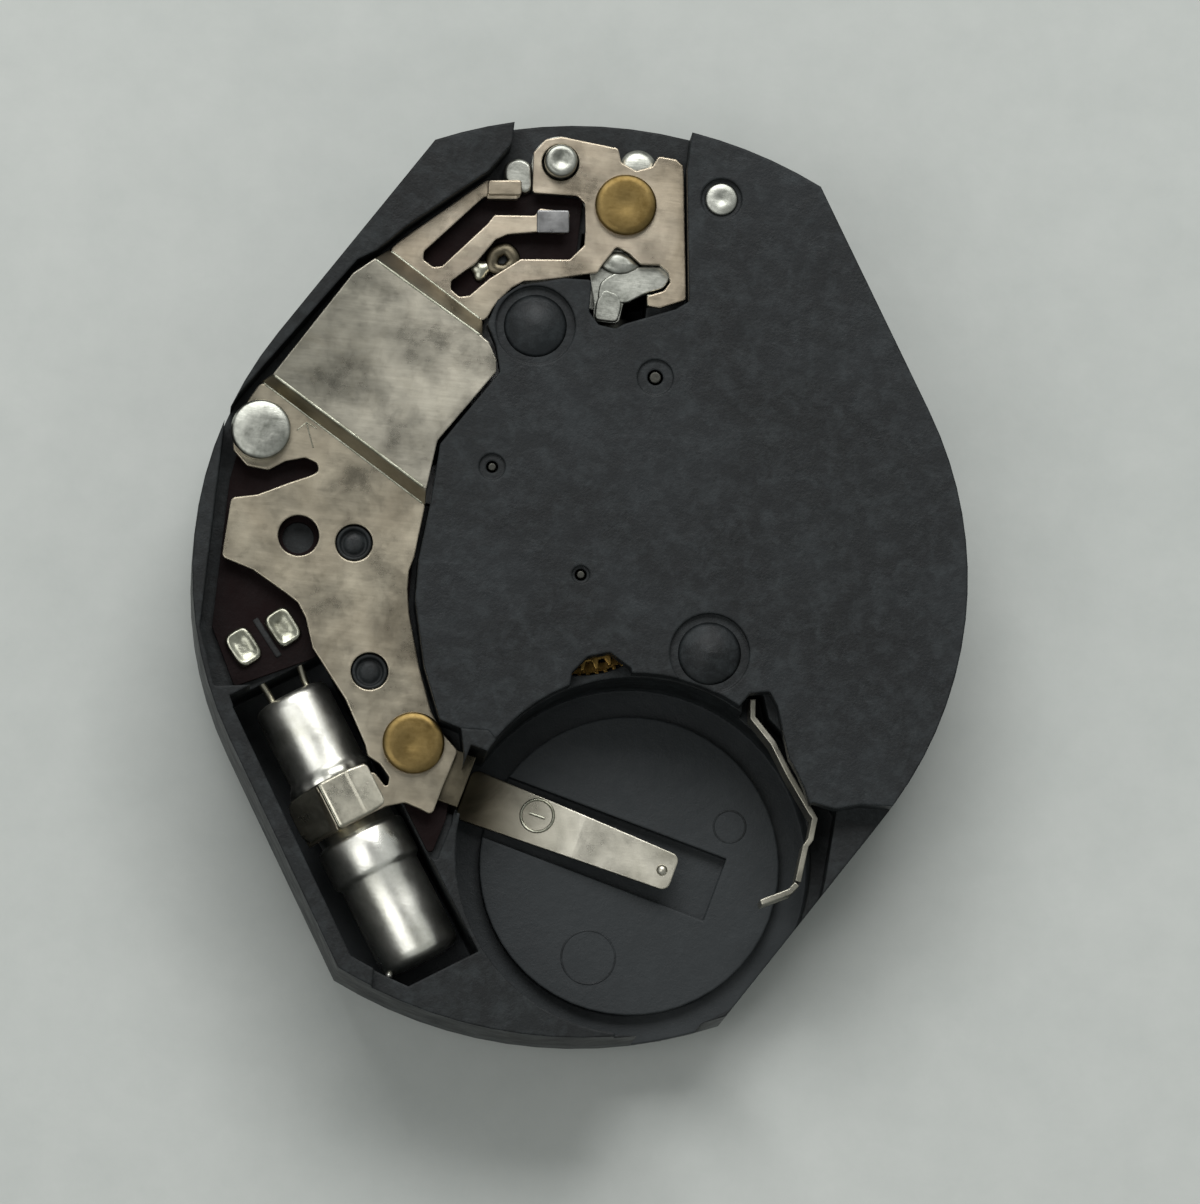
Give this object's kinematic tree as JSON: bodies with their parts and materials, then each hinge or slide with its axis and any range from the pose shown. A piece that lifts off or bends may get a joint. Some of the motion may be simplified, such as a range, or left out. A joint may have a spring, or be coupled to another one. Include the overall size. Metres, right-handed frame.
{
  "type": "quartz watch movement",
  "caption": "Small tonneau-shaped quartz watch movement seen from its battery side, with an open round cell cavity, a black train bridge, a sheet module cover and hand posts below.",
  "frame": {"origin": "on the hand axis, in the plane of the dial seat", "axes": "+Z towards the battery side, +Y along the long axis towards the stem, +X completes the right-handed set"},
  "size_m": [0.0128, 0.0152, 0.0037],
  "materials": {
    "plate": "matte moulded",
    "bridge": "satin moulded",
    "cover": "satin rolled sheet",
    "board": "dark red laminate",
    "chip": "moulded",
    "solder": "reflowed solder",
    "core": "annealed",
    "winding": "enamelled wire",
    "can": "plated",
    "lead": "tinned",
    "steel": "satin",
    "brass": "turned",
    "spring": "bright strip",
    "wheel": "gilt",
    "magnet": "ground"
  },
  "bodies": {
    "frame": {"main_plate": "plate", "train_bridge": "bridge", "module_cover": "cover", "circuit_board": "board", "ic_chip": "chip", "solder_pads": "solder", "coil_core": "core", "coil_winding": "winding", "stator": "core", "crystal_can": "can", "crystal_leads": "lead", "dial_side_plate": "steel", "bridge_rivets": "bridge", "brass_pins": "brass", "cover_pegs": "plate", "setting_lever_stud": "steel", "bridge_pin": "steel", "module_stud": "steel", "negative_contact_leg": "spring"},
    "third": {"third_wheel": "wheel", "third_pinion": "steel"},
    "seconds": {"seconds_wheel": "wheel", "seconds_pinion": "steel"},
    "intermediate": {"intermediate_wheel": "wheel", "intermediate_pinion": "steel"},
    "rotor": {"rotor_magnet": "magnet", "rotor_pinion": "steel"},
    "centre": {"centre_wheel": "wheel", "cannon_pinion": "steel"},
    "minute": {"minute_wheel": "wheel", "minute_pinion": "steel"},
    "hour": {"hour_wheel": "wheel"},
    "setting_gear": {"setting_wheel": "steel"},
    "lever": {"setting_lever": "steel"},
    "yoke": {"yoke": "steel"},
    "clutch": {"sliding_pinion": "steel"},
    "negative_arm": {"negative_contact": "spring"},
    "positive_arm": {"positive_contact": "spring"},
    "positive_tip": {"positive_contact_tip": "spring"}
  },
  "joints": [
    {"name": "third_spin", "type": "hinge", "parent": "frame", "child": "third", "pos_m": [0.0015, 0.00086, 0.0013], "axis": [0, 0, 1], "continuous": true},
    {"name": "seconds_spin", "type": "hinge", "parent": "frame", "child": "seconds", "pos_m": [0, 0, 0.0013], "axis": [0, 0, 1], "continuous": true},
    {"name": "intermediate_spin", "type": "hinge", "parent": "frame", "child": "intermediate", "pos_m": [-0.00031, 0.0017, 0.0013], "axis": [0, 0, 1], "continuous": true},
    {"name": "rotor_spin", "type": "hinge", "parent": "frame", "child": "rotor", "pos_m": [-0.00165, 0.0016, 0.0013], "axis": [0, 0, 1], "continuous": true},
    {"name": "centre_spin", "type": "hinge", "parent": "frame", "child": "centre", "pos_m": [0, 0, 0.0013], "axis": [0, 0, 1], "continuous": true},
    {"name": "minute_spin", "type": "hinge", "parent": "frame", "child": "minute", "pos_m": [0.00041, 0.00165, 0.0013], "axis": [0, 0, 1], "continuous": true},
    {"name": "hour_spin", "type": "hinge", "parent": "frame", "child": "hour", "pos_m": [0, 0, 0.0013], "axis": [0, 0, 1], "continuous": true},
    {"name": "setting_spin", "type": "hinge", "parent": "frame", "child": "setting_gear", "pos_m": [0.00085, 0.0034, 0.0013], "axis": [0, 0, 1], "continuous": true},
    {"name": "setting_lever_turn", "type": "hinge", "parent": "frame", "child": "lever", "pos_m": [-0.0011, 0.00683, 0.00182], "axis": [0, 0, 1], "range_deg": [0, 5]},
    {"name": "yoke_turn", "type": "hinge", "parent": "frame", "child": "yoke", "pos_m": [-0.00186, 0.00513, 0.0016], "axis": [0, 0, 1], "range_deg": [-10.8, 0]},
    {"name": "clutch_slide", "type": "slide", "parent": "frame", "child": "clutch", "axis": [0, 1, 0], "range_m": [-0.00034, 0]},
    {"name": "negative_contact_press", "type": "hinge", "parent": "frame", "child": "negative_arm", "pos_m": [-0.00144, -0.00358, 0.00036], "axis": [0.2419, 0.9703, 0], "range_deg": [0, 7.5]},
    {"name": "positive_contact_press", "type": "hinge", "parent": "frame", "child": "positive_arm", "pos_m": [0.00304, -0.0018, 0.0016], "axis": [0, 0, 1], "range_deg": [0, 6]},
    {"name": "positive_tip_press", "type": "hinge", "parent": "positive_arm", "child": "positive_tip", "pos_m": [0.00409, -0.00457, 0.0016], "axis": [0, 0, 1], "range_deg": [0, 39]}
  ],
  "couplings": [
    {"joint": "seconds_spin", "follows": "third_spin", "ratio": -7.5},
    {"joint": "intermediate_spin", "follows": "third_spin", "ratio": 37.5},
    {"joint": "rotor_spin", "follows": "third_spin", "ratio": -225},
    {"joint": "centre_spin", "follows": "third_spin", "ratio": -0.125},
    {"joint": "minute_spin", "follows": "third_spin", "ratio": 0.041667},
    {"joint": "hour_spin", "follows": "third_spin", "ratio": -0.010417},
    {"joint": "setting_spin", "follows": "third_spin", "ratio": -0.1},
    {"joint": "setting_lever_turn", "follows": "clutch_slide", "rad_per_m": -256.6},
    {"joint": "yoke_turn", "follows": "clutch_slide", "rad_per_m": 554.2},
    {"joint": "positive_tip_press", "follows": "positive_contact_press", "ratio": 6.5}
  ]
}
